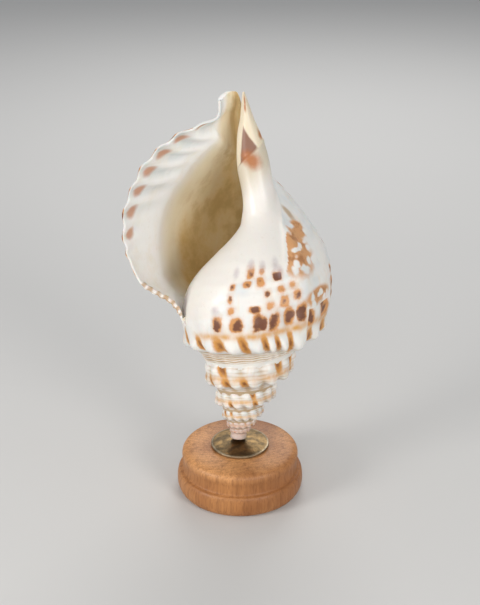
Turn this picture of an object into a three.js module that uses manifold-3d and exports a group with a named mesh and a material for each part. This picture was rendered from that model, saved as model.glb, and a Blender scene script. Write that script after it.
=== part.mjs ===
// A knobbed triton shell that stands on its apex on a domed metal disc, on a turned wooden base.
// Millimetres, +Z up. The origin is the middle of the base's underside, and the aperture faces -Y.
//
// The shell is a spiral solid. A section through its axis grows by GROWTH each turn, and "turn" counts
// turns back from the outer lip, which is turn 0. Sections are written at the lip's scale, as
// [radius, height] with heights measured along the shell's axis from its apex. "place" says where a
// point is along a section's wall, from 0 at the suture to the last point, at the siphonal canal.
import * as THREE from "three";
import { mergeVertices } from "three/addons/utils/BufferGeometryUtils.js";
import Module from "manifold-3d";

const wasm = await Module();
wasm.setup();

const DEGREE = Math.PI / 180;
const CONTACT_GAP = 0.3;

// The turned base, as [radius, height] from its underside up to its top.
const BASE_HEIGHT = 28.7;
const BASE_PROFILE = [
  [0, 0],
  [34.6, 0],
  [37.0, 1.6],
  [38.3, 5.0],
  [38.4, 9.0],
  [37.5, 12.6],
  [35.9, 14.4],
  [35.0, 15.8],
  [34.9, 20.0],
  [35.4, 23.4],
  [34.9, 25.8],
  [33.0, 27.5],
  [29.0, 28.4],
  [24.0, BASE_HEIGHT],
  [0, BASE_HEIGHT],
];
const BASE_FACETS = 44;

// The domed disc under the apex.
const DISC_RADIUS = 17.6;
const DISC_EDGE = 1.5;
const DISC_DOME = 1.3;
const DISC_DOME_STEPS = 2;
const DISC_CHAMFER = 0.4;
const DISC_FACETS = 36;
const DISC_FOOT = BASE_HEIGHT + CONTACT_GAP;
const DISC_TOP = DISC_FOOT + DISC_EDGE + DISC_DOME;

// How the shell stands: its axis leans away from -Y and a little towards +X.
const LEAN_BACK = 12 * DEGREE;
const LEAN_SIDE = 3.5 * DEGREE;

// Growth of the spiral. LIP_ANGLE is where the outer lip ends, counted from +X towards +Y.
const GROWTH = 1.55;
const LIP_ANGLE = 205 * DEGREE;
const FIRST_TURN = -6.3;

// The outer wall, from the suture to the siphonal canal: as it is round the body whorl, and as it is at
// the flared outer lip. Both lists have the same points.
const BODY_WALL = [
  [34, 72],
  [37.5, 79],
  [40.5, 84.5],
  [44.5, 90],
  [52.0, 95],
  [57.5, 101],
  [60, 109],
  [61.5, 118.5],
  [62, 130],
  [60.5, 142.5],
  [56, 155],
  [48, 167.5],
  [38, 179],
  [28, 188.5],
  [19.5, 195.5],
  [13, 200],
  [8, 203],
];
const LIP_WALL = [
  [38, 72],
  [43, 78.5],
  [46.5, 84.5],
  [52, 90],
  [60, 94.5],
  [68, 99.5],
  [73, 106],
  [77, 114],
  [80.5, 123],
  [82.3, 134],
  [81.5, 147],
  [77, 158.5],
  [68, 171],
  [52, 183.5],
  [34.5, 191.8],
  [19, 196.3],
  [15.8, 206],
];
const LAST_PLACE = BODY_WALL.length - 1;

// Turns over which the wall takes the lip's form: the flare, and the canal's width and height.
const FLARE_TURNS = 0.1;
const FLARE_POWER = 1.7;
const CANAL_PLACE = 13.5;
const CANAL_EASE = 1.5;
const CANAL_TURNS = 0.42;
const CANAL_RISE_TURNS = 0.2;
const CANAL_RIM_RISE = 5;

// The whorls of the spire are slimmer than the body whorl from this place and this turn on.
const SPIRE_SLIM = 0.08;
const SLIM_PLACE = 4;
const SLIM_PLACES = 3;
const SLIM_TURN = -1;
const SLIM_TURNS = 0.5;

// The hidden side of a section, from under the canal's end back to the suture.
const INNER_RADIUS = 3;
const INNER_SIDE = [
  [3.6, 160],
  [3, 122],
  [12, 98],
  [24, 80],
];

// Above BEND_FROM the canal and the pillar bend across and forwards, by these shares of the height.
// Below APEX_TO the spire bends across, and is blunter than the spiral's growth makes it.
const BEND_FROM = 155;
const BEND_EASE = 4;
const BEND_ACROSS = -0.205;
const BEND_DEPTH = -0.05;
const APEX_TO = 36;
const APEX_ACROSS = -1.5;
const APEX_SWELL = 1.8;
const APEX_EASE = 22;

// Places where sections have points.
const WALL_PLACES = [0, 1.6, 2.7, 3.6, 4.5, 5.4, 6.3, 7.1, 7.9, 9, 10.4, 12, 13.2, 14.2, 15, LAST_PLACE];
const SPIRE_PLACES = [0, 1.6, 2.7, 3.6, 4.5, 5.4, 6.3, 7.1, 7.9, 9, LAST_PLACE];

// Stretches of the spiral as [places, from turn, to turn, steps a turn].
const SPIRE_STRETCHES = [
  [SPIRE_PLACES, FIRST_TURN, -3.2, 22],
  [SPIRE_PLACES, -3.2, -1.8, 42],
  [WALL_PLACES, -1.8, -0.9, 42],
];
const LAST_STRETCH = [WALL_PLACES, -0.9, 0, 60];

// Wall thickness at the lip's scale, round the whorl and at the lip's edge.
const WALL = 3.2;
const LIP_EDGE = 1.8;

// The cavity: its turns, its places along the wall, and its side towards the axis, down the pillar and
// into the whorl before. Towards the lip it follows the canal and opens upwards.
const CAVITY_FROM = -0.8;
const CAVITY_TO = 0.08;
const CAVITY_STEPS_A_TURN = 34;
const CAVITY_POINTS = 12;
const CAVITY_FIRST = 2;
const CAVITY_LAST_BODY = 13;
const CAVITY_LAST_CANAL = 15.8;
const CAVITY_SIDE = [
  [4.6, 160],
  [5.4, 127],
  [22, 104],
  [36, 88],
];
const OPEN_FROM = -0.36;
const OPEN_TURNS = 0.08;
const OPEN_HEIGHT = 225;
const OPEN_RADIUS = 0.6;
const OPEN_MARGIN = 0.2;
const ROOF_RISE = 1;
const ROOF_SHARE = 0.8;

// Rows of knobs, with their place, width along the wall and height, and knobs in a turn on the last
// whorl and before it.
const KNOB_ROWS = [
  { place: 4.6, width: 0.85, height: 3.6 },
  { place: 7.1, width: 0.7, height: 1.9 },
];
const KNOB_FLOOR = 0.25;
const KNOBS_LAST = 20;
const KNOBS_BEFORE = 14;
const KNOB_FADE = 0.08;
const APEX_FADE = 0.5;

// Old lips, which stay as thick ribs across the whorls.
const VARIX_TURNS = [-0.7, -1.32, -1.95, -2.57, -3.08, -3.7, -4.3];
const VARIX_WIDTH = 0.028;
const VARIX_HEIGHT = 3.0;
const VARIX_FROM = 2.5;
const RELIEF_TO = 15;
const RELIEF_EASE = 3;

// The pillar up the shell's axis, as [height, centre across, centre in depth, half width, half depth].
const PILLAR = [
  [1.9, 0, 0, 2.6, 2.6],
  [2.4, 0, 0, 4.0, 4.0],
  [3.8, 0, 0, 4.9, 4.9],
  [12, 0, 0, 5.0, 5.0],
  [90, 0, 0, 8, 8],
  [112, 1, -8, 16, 22],
  [119, 2, -8, 14.6, 22],
  [126, 3.6, -5.5, 12.6, 20.5],
  [134, 4.5, -3.5, 11.2, 15.8],
  [142, 4.2, -2.8, 10.8, 12.6],
  [150, 2.6, -2, 10.2, 10.8],
  [157, 0.9, -1.4, 9.9, 10],
  [165, 0, -0.6, 9.9, 9.2],
  [173, 0, 0, 9.5, 8.6],
  [182, 0, 0, 8.2, 7.4],
  [189, 0, 0, 6.7, 6.4],
  [196, 0, 0, 4.4, 5.4],
  [204, 0, 0, 2.5, 4.2],
  [211.5, 0, 0, 0.7, 1.6],
];
const PILLAR_FACETS = 16;
const PILLAR_STEPS = 28;

// Points closer than this are one point.
const MERGE_WITHIN = 0.001;

const smooth = (x) => {
  const t = Math.min(1, Math.max(0, x));
  return t * t * (3 - 2 * t);
};
const mix = (a, b, t) => a + (b - a) * t;
const scaleAt = (turn) => Math.pow(GROWTH, turn);

// A point on the smooth curve through a list of points; place runs from 0 to the last index.
function along(points, place) {
  const last = points.length - 1;
  const at = Math.min(last, Math.max(0, place));
  const i = Math.min(last - 1, Math.floor(at));
  const t = at - i;
  const [a, b, c, d] = [i - 1, i, i + 1, i + 2].map((k) => points[Math.min(last, Math.max(0, k))]);
  return b.map((_, k) => {
    const bend = 2 * a[k] - 5 * b[k] + 4 * c[k] - d[k];
    const twist = 3 * b[k] - a[k] - 3 * c[k] + d[k];
    return b[k] + 0.5 * t * (c[k] - a[k] + t * (bend + t * twist));
  });
}

// The wall's smooth line at a turn, before knobs. The canal's end keeps its height above the apex.
function wallLine(turn, place) {
  const body = along(BODY_WALL, place);
  const lip = along(LIP_WALL, place);
  const inCanal = smooth((place - CANAL_PLACE) / CANAL_EASE);
  const flare = Math.pow(Math.max(0, 1 + turn / FLARE_TURNS), FLARE_POWER);
  const spread = smooth(1 + turn / CANAL_TURNS);
  const rise = smooth((turn + CANAL_TURNS) / CANAL_RISE_TURNS);
  const spire = smooth((SLIM_TURN - turn) / SLIM_TURNS) * smooth((place - SLIM_PLACE) / SLIM_PLACES);
  const slim = 1 - SPIRE_SLIM * spire;
  const rim = CANAL_RIM_RISE * smooth(-turn / CANAL_RISE_TURNS);
  const lipHeight = mix(lip[1], (lip[1] + rim) / scaleAt(turn), inCanal);
  const radius = mix(body[0] * slim, lip[0], mix(flare, spread, inCanal));
  return [radius, mix(body[1], lipHeight, mix(flare, rise, inCanal))];
}

// How far the outer surface stands out from the wall's line.
function relief(turn, place) {
  const knobs = turn > -1 ? KNOBS_LAST * turn : KNOBS_BEFORE * (turn + 1) - KNOBS_LAST;
  const round = 0.5 + 0.5 * Math.cos(2 * Math.PI * knobs);
  const fade = smooth(-turn / KNOB_FADE) * smooth((turn - FIRST_TURN) / APEX_FADE);
  let height = 0;
  for (const row of KNOB_ROWS) {
    const across = Math.exp(-(((place - row.place) / row.width) ** 2));
    height += row.height * across * mix(KNOB_FLOOR, 1, round) * fade;
  }
  for (const varix of VARIX_TURNS) {
    const away = (turn - varix) / VARIX_WIDTH;
    height += VARIX_HEIGHT * Math.exp(-away * away) * smooth(place - VARIX_FROM);
  }
  return height * smooth((RELIEF_TO - place) / RELIEF_EASE);
}

// A point of the outer wall (inset 0) or the cavity's wall (inset above 0), at the turn's own scale.
function wallPoint(turn, place, inset) {
  const step = 0.05;
  const before = wallLine(turn, place - step);
  const after = wallLine(turn, place + step);
  const run = [after[0] - before[0], after[1] - before[1]];
  const length = Math.hypot(run[0], run[1]) || 1;
  const out = inset > 0 ? -inset : relief(turn, place);
  const point = wallLine(turn, place);
  return [point[0] + (run[1] / length) * out, point[1] - (run[0] / length) * out];
}

// Moves a point of the straight shell to the bent one.
function bent([x, y, z]) {
  const past = Math.max(0, z - BEND_FROM);
  const bend = (past * past) / (past + BEND_EASE);
  const apex = Math.max(0, 1 - z / APEX_TO) ** 2;
  return [x + BEND_ACROSS * bend + APEX_ACROSS * apex, y + BEND_DEPTH * bend, z];
}

function placeInSpace(turn, [radius, height]) {
  const scale = scaleAt(turn);
  const angle = LIP_ANGLE + 2 * Math.PI * turn;
  const out = radius * scale + APEX_SWELL * smooth((APEX_TO - height * scale) / APEX_EASE);
  return bent([out * Math.cos(angle), out * Math.sin(angle), height * scale]);
}

function outerSection(places, turn) {
  const wall = places.map((place) => wallPoint(turn, place, 0));
  const end = [INNER_RADIUS, wall[wall.length - 1][1]];
  return [...wall, end, ...INNER_SIDE].map((point) => placeInSpace(turn, point));
}

function cavitySection(turn) {
  const inset = mix(WALL, LIP_EDGE, smooth(1 + turn / FLARE_TURNS));
  const rise = smooth((turn + CANAL_TURNS) / CANAL_RISE_TURNS);
  const last = mix(CAVITY_LAST_BODY, CAVITY_LAST_CANAL, rise);
  const wall = Array.from({ length: CAVITY_POINTS }, (_, i) =>
    wallPoint(Math.min(turn, 0), mix(CAVITY_FIRST, last, i / (CAVITY_POINTS - 1)), inset),
  );
  const [endRadius, endHeight] = wall[wall.length - 1];
  const open = smooth((turn - OPEN_FROM) / OPEN_TURNS);
  const top = mix(endHeight + ROOF_RISE, OPEN_HEIGHT / scaleAt(turn), open);
  const roof = [
    [mix(endRadius * ROOF_SHARE, endRadius - OPEN_MARGIN, open), top],
    [OPEN_RADIUS, top],
  ];
  return [...wall, ...roof, ...CAVITY_SIDE].map((point) => placeInSpace(turn, point));
}

// A closed solid through rings of points, all with the same count.
function loft(rings) {
  const count = rings[0].length;
  const positions = rings.flat(2);
  const faces = [];
  for (let i = 0; i + 1 < rings.length; i++) {
    for (let j = 0; j < count; j++) {
      const k = (j + 1) % count;
      const [a, b] = [i * count + j, i * count + k];
      const [c, d] = [a + count, b + count];
      faces.push(a, c, b, b, c, d);
    }
  }
  for (const [a, b, c] of capFaces(rings[0])) faces.push(a, b, c);
  const top = (rings.length - 1) * count;
  for (const [a, b, c] of capFaces(rings[rings.length - 1])) faces.push(top + a, top + c, top + b);
  return solidFrom(positions, faces);
}

// Triangles across a ring that lies in one plane.
function capFaces(ring) {
  const points = ring.map((p) => new THREE.Vector3(...p));
  const normal = new THREE.Vector3();
  points.forEach((p, i) => {
    const q = points[(i + 1) % points.length];
    normal.x += (p.y - q.y) * (p.z + q.z);
    normal.y += (p.z - q.z) * (p.x + q.x);
    normal.z += (p.x - q.x) * (p.y + q.y);
  });
  normal.normalize();
  const helper = Math.abs(normal.z) > 0.9 ? new THREE.Vector3(1, 0, 0) : new THREE.Vector3(0, 0, 1);
  const u = helper.clone().cross(normal).normalize();
  const v = normal.clone().cross(u);
  const flat = points.map((p) => new THREE.Vector2(p.dot(u), p.dot(v)));
  return THREE.ShapeUtils.triangulateShape(flat, []);
}

function solidFrom(positions, faces) {
  const made = new wasm.Manifold(
    new wasm.Mesh({
      numProp: 3,
      vertProperties: new Float32Array(positions),
      triVerts: new Uint32Array(faces),
    }),
  );
  if (made.volume() >= 0) return made;
  const turned = faces.map((_, i) => faces[i - (i % 3) + [0, 2, 1][i % 3]]);
  return solidFrom(positions, turned);
}

// Sections swept from one turn to another, in lengths too short to meet themselves, and joined.
function sweep(section, from, to, stepsATurn) {
  const steps = Math.ceil((to - from) * stepsATurn);
  const halfTurn = Math.floor(stepsATurn / 2);
  const pieces = [];
  for (let first = 0; first < steps; first += halfTurn) {
    const last = Math.min(steps, first + halfTurn);
    const rings = [];
    for (let i = first; i <= last; i++) rings.push(section(mix(from, to, i / steps)));
    pieces.push(loft(rings));
  }
  return wasm.Manifold.union(pieces);
}

function pillarSolid() {
  const rings = [];
  for (let i = 0; i <= PILLAR_STEPS; i++) {
    const [height, x, y, wide, deep] = along(PILLAR, ((PILLAR.length - 1) * i) / PILLAR_STEPS);
    const ring = [];
    for (let j = 0; j < PILLAR_FACETS; j++) {
      const a = (2 * Math.PI * j) / PILLAR_FACETS;
      ring.push(bent([x + wide * Math.cos(a), y + deep * Math.sin(a), height]));
    }
    rings.push(ring);
  }
  return loft(rings);
}

// The body with the largest volume. The slivers shut in between whorls become solid with it.
function outerBody(solid) {
  return solid.decompose().reduce((best, body) => (body.volume() > best.volume() ? body : best));
}

function shellSolid() {
  const stretch = ([places, from, to, steps]) => sweep((turn) => outerSection(places, turn), from, to, steps);
  const cavity = sweep(cavitySection, CAVITY_FROM, CAVITY_TO, CAVITY_STEPS_A_TURN);
  const lastWhorl = stretch(LAST_STRETCH).subtract(cavity);
  return outerBody(wasm.Manifold.union([lastWhorl, ...SPIRE_STRETCHES.map(stretch), pillarSolid()]));
}

function geometryOf(solid) {
  const mesh = solid.getMesh();
  const geometry = new THREE.BufferGeometry();
  geometry.setAttribute("position", new THREE.BufferAttribute(mesh.vertProperties, 3));
  geometry.setIndex(new THREE.BufferAttribute(mesh.triVerts, 1));
  return mergeVertices(geometry, MERGE_WITHIN);
}

function turnedPiece(profile, facets) {
  const points = profile.map(([r, z]) => new THREE.Vector2(r, z));
  const geometry = new THREE.LatheGeometry(points, facets);
  geometry.rotateX(Math.PI / 2);
  return geometry;
}

function discProfile() {
  const profile = [
    [0, 0],
    [DISC_RADIUS - DISC_CHAMFER, 0],
    [DISC_RADIUS, DISC_CHAMFER],
    [DISC_RADIUS, DISC_EDGE - DISC_CHAMFER],
    [DISC_RADIUS - DISC_CHAMFER, DISC_EDGE],
  ];
  for (let i = DISC_DOME_STEPS; i >= 0; i--) {
    const share = i / (DISC_DOME_STEPS + 1);
    profile.push([DISC_RADIUS * share, DISC_EDGE + DISC_DOME * (1 - share * share)]);
  }
  return profile;
}

function named(name, geometry, color, roughness, metalness) {
  const material = new THREE.MeshStandardMaterial({ color, roughness, metalness });
  const mesh = new THREE.Mesh(geometry, material);
  mesh.name = name;
  return mesh;
}

const shell = named("shell", geometryOf(shellSolid()), 0xf1ead9, 0.35, 0);
const stand = new THREE.Group();
stand.rotation.set(-LEAN_BACK, LEAN_SIDE, 0, "XYZ");
stand.add(shell);
stand.updateMatrixWorld(true);
const leaned = new THREE.Box3().setFromObject(stand, true);
stand.position.z = DISC_TOP + CONTACT_GAP - leaned.min.z;

const disc = named("metal_disc", turnedPiece(discProfile(), DISC_FACETS), 0x5c5138, 0.4, 1);
disc.position.z = DISC_FOOT;

const base = named("wood_base", turnedPiece(BASE_PROFILE, BASE_FACETS), 0xbf8a5a, 0.6, 0);

const part = new THREE.Group();
part.add(stand, disc, base);
export default part;
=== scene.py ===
import math

import bpy
import numpy as np
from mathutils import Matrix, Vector
from mathutils.bvhtree import BVHTree


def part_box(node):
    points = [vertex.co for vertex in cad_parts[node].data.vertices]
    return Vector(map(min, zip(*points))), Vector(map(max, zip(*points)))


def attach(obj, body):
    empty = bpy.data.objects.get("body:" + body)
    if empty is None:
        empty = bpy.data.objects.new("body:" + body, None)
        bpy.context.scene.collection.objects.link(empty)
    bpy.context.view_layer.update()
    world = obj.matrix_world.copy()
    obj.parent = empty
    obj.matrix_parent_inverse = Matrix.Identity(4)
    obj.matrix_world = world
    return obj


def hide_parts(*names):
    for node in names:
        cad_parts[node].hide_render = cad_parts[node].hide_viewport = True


# A knobbed triton shell that stands on its apex on a domed metal disc, on a turned wooden base.
# The shapes below are in millimetres, and METRE turns them to metres. "turn" counts turns back from
# the shell's outer lip, which is turn 0. "place" says where a point is along a section's wall, from 0
# at the suture to LAST_PLACE at the siphonal canal. A list of sections is at the lip's scale.

METRE = 0.001
DEGREE = math.pi / 180

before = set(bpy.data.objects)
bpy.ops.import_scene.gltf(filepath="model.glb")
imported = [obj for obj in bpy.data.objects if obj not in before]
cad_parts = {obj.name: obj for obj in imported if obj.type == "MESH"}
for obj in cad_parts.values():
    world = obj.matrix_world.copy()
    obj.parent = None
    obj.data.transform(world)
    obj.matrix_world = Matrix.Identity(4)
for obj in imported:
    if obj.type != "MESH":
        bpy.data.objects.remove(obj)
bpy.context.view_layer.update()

# The camera, fitted to the round edges of the base.
CAMERA_DISTANCE = 800
CAMERA_RISE = 31.5 * DEGREE
CAMERA_AIM_HEIGHT = 30.2
CAMERA_PITCH = 25.37 * DEGREE
CAMERA_LENS = 77.36
CAMERA_SENSOR = 36
CAMERA_CLIP = 0.05

# How the shell stands, the growth of its spiral, and the angle from which an edge looks sharp.
LEAN_BACK = 12 * DEGREE
LEAN_SIDE = 3.5 * DEGREE
GROWTH = 1.55
LIP_ANGLE = 205 * DEGREE
FIRST_TURN = -6.3
SHARP_ANGLE = 48 * DEGREE

# The outer wall round the body whorl and at the flared outer lip, as [radius, height].
BODY_WALL = np.array([
    [34, 72], [37.5, 79], [40.5, 84.5], [44.5, 90], [52.0, 95], [57.5, 101], [60, 109], [61.5, 118.5],
    [62, 130], [60.5, 142.5], [56, 155], [48, 167.5], [38, 179], [28, 188.5], [19.5, 195.5], [13, 200],
    [8, 203],
])
LIP_WALL = np.array([
    [38, 72], [43, 78.5], [46.5, 84.5], [52, 90], [60, 94.5], [68, 99.5], [73, 106], [77, 114],
    [80.5, 123], [82.3, 134], [81.5, 147], [77, 158.5], [68, 171], [52, 183.5], [34.5, 191.8],
    [19, 196.3], [15.8, 206],
])
LAST_PLACE = len(BODY_WALL) - 1
SLOPE_STEP = 0.05

# Turns over which the wall takes the lip's form: the flare, and the canal's width and height.
FLARE_TURNS = 0.1
FLARE_POWER = 1.7
CANAL_PLACE = 13.5
CANAL_EASE = 1.5
CANAL_TURNS = 0.42
CANAL_RISE_TURNS = 0.2
CANAL_RIM_RISE = 5

# The whorls of the spire are slimmer than the body whorl from this place and this turn on.
SPIRE_SLIM = 0.08
SLIM_PLACE = 4
SLIM_PLACES = 3
SLIM_TURN = -1
SLIM_TURNS = 0.5

# The hidden side of a section.
INNER_RADIUS = 3
INNER_SIDE = np.array([[3.6, 160], [3, 122], [12, 98], [24, 80]])

# Above BEND_FROM the canal and the pillar bend. Below APEX_TO the spire bends and is blunter.
BEND_FROM = 155
BEND_EASE = 4
BEND_ACROSS = -0.205
BEND_DEPTH = -0.05
APEX_TO = 36
APEX_ACROSS = -1.5
APEX_SWELL = 1.8
APEX_EASE = 22

# The cavity and its side towards the axis. Towards the lip it follows the canal and opens upwards.
WALL = 3.2
LIP_EDGE = 1.3
CAVITY_FROM = -0.8
CAVITY_TO = 0.08
CAVITY_FIRST = 1.1
CAVITY_LAST_BODY = 13
CAVITY_LAST_CANAL = 15.8
CAVITY_SIDE = np.array([[4.6, 160], [5.4, 127], [22, 104], [34, 85]])
OPEN_FROM = -0.36
OPEN_TURNS = 0.08
OPEN_HEIGHT = 225
OPEN_RADIUS = 0.6
OPEN_MARGIN = 0.2
ROOF_RISE = 1
ROOF_SHARE = 0.8

# The pillar up the axis, as [height, centre across, centre in depth, half width, half depth].
PILLAR = np.array([
    [1.9, 0, 0, 2.6, 2.6], [2.4, 0, 0, 4.0, 4.0], [3.8, 0, 0, 4.9, 4.9], [12, 0, 0, 5.0, 5.0],
    [90, 0, 0, 8, 8], [112, 1, -8, 16, 22], [119, 2, -8, 14.6, 22], [126, 3.6, -5.5, 12.6, 20.5],
    [134, 4.5, -3.5, 11.2, 15.8], [142, 4.2, -2.8, 10.8, 12.6], [150, 2.6, -2, 10.2, 10.8],
    [157, 0.9, -1.4, 9.9, 10], [165, 0, -0.6, 9.9, 9.2], [173, 0, 0, 9.5, 8.6], [182, 0, 0, 8.2, 7.4],
    [189, 0, 0, 6.7, 6.4], [196, 0, 0, 4.4, 5.4], [204, 0, 0, 2.5, 4.2], [211.5, 0, 0, 0.7, 1.6],
])

# Regions of the shell's surface.
OUTSIDE = 0
CAVITY = 1
COLUMN = 2


def smooth(x):
    t = np.clip(x, 0, 1)
    return t * t * (3 - 2 * t)


def mix(a, b, t):
    return a + (b - a) * t


def within(x, low, low_ease, high, high_ease):
    """1 between low and high, and eased to 0 inside both."""
    return smooth((x - low) / low_ease) * smooth((high - x) / high_ease)


def hill(x, width):
    return np.exp(-((x / width) ** 2))


def wave(x, length=1):
    return np.cos(2 * math.pi * x / length)


def along(points, place):
    """Points of the smooth curve through a list; place runs from 0 to the last index."""
    last = len(points) - 1
    at = np.clip(place, 0, last)
    first = np.minimum(last - 1, np.floor(at)).astype(int)
    t = (at - first)[..., None]
    a, b, c, d = [points[np.clip(first + k, 0, last)] for k in (-1, 0, 1, 2)]
    bend = 2 * a - 5 * b + 4 * c - d
    twist = 3 * b - a - 3 * c + d
    return b + 0.5 * t * (c - a + t * (bend + t * twist))


def scale_at(turn):
    return GROWTH ** turn


def wall_line(turn, place):
    """The wall's smooth line, as (radius, height) at the turn's own scale."""
    body = along(BODY_WALL, place)
    lip = along(LIP_WALL, place)
    in_canal = smooth((place - CANAL_PLACE) / CANAL_EASE)
    flare = np.maximum(0, 1 + turn / FLARE_TURNS) ** FLARE_POWER
    spread = smooth(1 + turn / CANAL_TURNS)
    rise = smooth((turn + CANAL_TURNS) / CANAL_RISE_TURNS)
    spire = smooth((SLIM_TURN - turn) / SLIM_TURNS) * smooth((place - SLIM_PLACE) / SLIM_PLACES)
    rim = CANAL_RIM_RISE * smooth(-turn / CANAL_RISE_TURNS)
    lip_height = mix(lip[..., 1], (lip[..., 1] + rim) / scale_at(turn), in_canal)
    radius = mix(body[..., 0] * (1 - SPIRE_SLIM * spire), lip[..., 0], mix(flare, spread, in_canal))
    return radius, mix(body[..., 1], lip_height, mix(flare, rise, in_canal))


def bent(points):
    """Points of the straight shell, moved to the bent one."""
    x, y, z = points[..., 0], points[..., 1], points[..., 2]
    past = np.maximum(0, z - BEND_FROM)
    bend = past * past / (past + BEND_EASE)
    apex = np.maximum(0, 1 - z / APEX_TO) ** 2
    return np.stack([x + BEND_ACROSS * bend + APEX_ACROSS * apex, y + BEND_DEPTH * bend, z], -1)


def place_in_space(turn, radius, height):
    scale = scale_at(turn)
    angle = LIP_ANGLE + 2 * math.pi * turn
    out = radius * scale + APEX_SWELL * smooth((APEX_TO - height * scale) / APEX_EASE)
    return bent(np.stack([out * np.cos(angle), out * np.sin(angle), height * scale], -1))


# Knobs. They lie along gaps that lean a little, and crowd together before the last old lip. A row's
# measures are given on the last whorl and on the spire.
KNOBS_LAST = 17
KNOBS_BEFORE = 14
KNOB_CROWD = 1.4
CROWD_FROM = -0.8
CROWD_TURNS = 0.1
KNOB_SHIFT = 0.5
KNOB_SHEAR = 0.0085
SHEAR_PLACE = 4.8
SHEAR_TO = 8.5
KNOB_ROWS = [
    {"place": (4.75, 4.1), "width": (0.8, 0.95), "height": (4.0, 5.2)},
    {"place": (7.1, 6.6), "width": (0.7, 0.75), "height": (1.3, 4.5)},
]
KNOB_MOVE_TURN = -1.05
KNOB_FLOOR = -0.15
KNOB_SQUARE = 0.8
KNOB_FADE = 0.08
APEX_FADE = 0.5

# Old lips, which stay as thick ribs across the whorls.
VARIX_TURNS = [-0.7, -1.32, -1.95, -2.57, -3.08, -3.7, -4.3]
VARIX_WIDTH = 0.028
VARIX_HEIGHT = 3.0
VARIX_FROM = 2.5
RELIEF_TO = 15
RELIEF_EASE = 3

# Spiral cords: fine ones on the ramp above the suture, finer ones all over the spire, and broad low
# ones that carry the rows of spots. The rows' places are given at the front and at the lip.
RAMP_PLACES = (1.3, 0.4, 4.0, 0.4)
SPIRE_CORD_EASE = 0.1
RAMP_CORD = 0.44
RAMP_HEIGHT = 0.75
CORD_SWAY = 0.07
SPIRE_CORD = 0.62
SPIRE_HEIGHT = 0.1
ROW_HEIGHT = 0.3
ROW_EASE = 0.05
FRONT_ROWS = [7.2, 8.3, 9.15, 9.9, 10.6, 11.4, 12.2, 13.0]
LIP_ROWS = [7.5, 8.5, 9.55, 10.6, 11.55, 12.4, 13.15, 14.2]
ROWS_FROM = -0.82
ROWS_TURNS = 0.8

# The lip's flutes, the folds inside it, which start from its spots at LIP_SPOT_TURN, and the notches
# along its thick rim at the shoulder.
LIP_SPOT_TURN = -0.016
FLUTE_HEIGHT = 0.75
FLUTE_TURNS = 0.09
FLUTE_FROM = 6.7
FLUTE_POWER = 1.5
FOLD_HEIGHT = 1.5
FOLD_WIDTH = 0.26
FOLD_LEAN = 16
LEAN_FROM = 8
LEAN_EASE = 4
FOLD_TURN = -0.045
FOLD_TURNS = 0.028
FOLD_PLACES = (8.5, 2, 14.5, 1)
RIM_PLACES = (1.2, 0.4, 5.6, 0.6)
THICK_PLACES = (1.2, 0.6, 5.6, 0.8)
RIM_CORD = 0.6
RIM_HEIGHT = 0.4
RIM_EXTRA = 1.3
RIM_TURNS = 0.02
EDGE_TURNS = 0.0022
EDGE_ROUND = 0.5
EDGE_LEFT = 0.15

# The glazed callus on the front of the body whorl: its right edge and its foot, as turns and places.
# A foot's pair says how far below it the glaze or the bead starts, and over how much it grows.
CALLUS_EDGE_PLACES = [10.2, 10.8, 11.84, 12.9, 13.7, 14.8, 16]
CALLUS_EDGE_TURNS = [-0.744, -0.732, -0.718, -0.6945, -0.648, -0.568, -0.5]
CALLUS_FOOT_TURNS = [-0.95, -0.90, -0.875, -0.86, -0.80, -0.744]
CALLUS_FOOT_PLACES = [7.4, 7.7, 9.3, 9.9, 10.15, 10.2]
MM_A_TURN = 270
MM_A_PLACE = 8.0
CALLUS_THICK = 0.6
CALLUS_BEAD = 0.5
BEAD_AT = 1.2
BEAD_WIDTH = 1.0
BEAD_FOOT = (1, 9)
GLAZE_EASE = 3
GLAZE_FOOT = (2, 6)
GLAZED_RELIEF = 0.2

# The ridge across the pillar's front, above which its tip is bare, and the step down to the tip.
RIDGE_ANGLES = [-155, -75, -43, 0]
RIDGE_HEIGHTS = [168.5, 179, 182, 185]
RIDGE_WIDTH = 0.9
RIDGE_HEIGHT = 0.45
TIP_STEP = 0.5
TIP_EASE = 1.5
RIDGE_FRONT = (-170, 20, 40, 60)

# The soft joint between the pillar and the whorls: its size low down and up beside the canal, and
# how much its points move towards their neighbours' middle in each step.
FILLET = 9
FILLET_HIGH = 1.5
FILLET_FALL_FROM = 128
FILLET_FALL_TO = 156
SOFTEN_STEPS = 6
RELAXED = 0.6
LEAST_SLOPE = 0.2
ON_SURFACE = 0.05


def knob_phase(turn, place):
    """Counts knobs along the spiral. Whole numbers fall in the gaps between them."""
    t = turn + KNOB_SHEAR * (np.minimum(place, SHEAR_TO) - SHEAR_PLACE)
    last = KNOBS_LAST * t + KNOB_CROWD * smooth((t - CROWD_FROM) / CROWD_TURNS)
    before = KNOBS_BEFORE * (t + 1) - KNOBS_LAST - KNOB_SHIFT * smooth((-1 - t) / SLIM_TURNS)
    return np.where(t > -1, last, before)


def of_row(row, measure, turn):
    """A measure of a row of knobs, which changes from the spire to the last whorl."""
    return mix(*row[measure], smooth((KNOB_MOVE_TURN - turn) / SLIM_TURNS))


def row_count(turn, place):
    """Counts rows of spots across the whorl. Whole numbers fall on the rows."""
    toward_lip = smooth((turn - ROWS_FROM) / ROWS_TURNS)
    centres = [mix(front, lip, toward_lip) for front, lip in zip(FRONT_ROWS, LIP_ROWS)]
    count = (place - centres[0]) / (centres[1] - centres[0])
    count = np.minimum(count, 0) + 0 * place
    for low, high in zip(centres, centres[1:]):
        count = count + np.clip((place - low) / (high - low), 0, 1)
    return count


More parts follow.
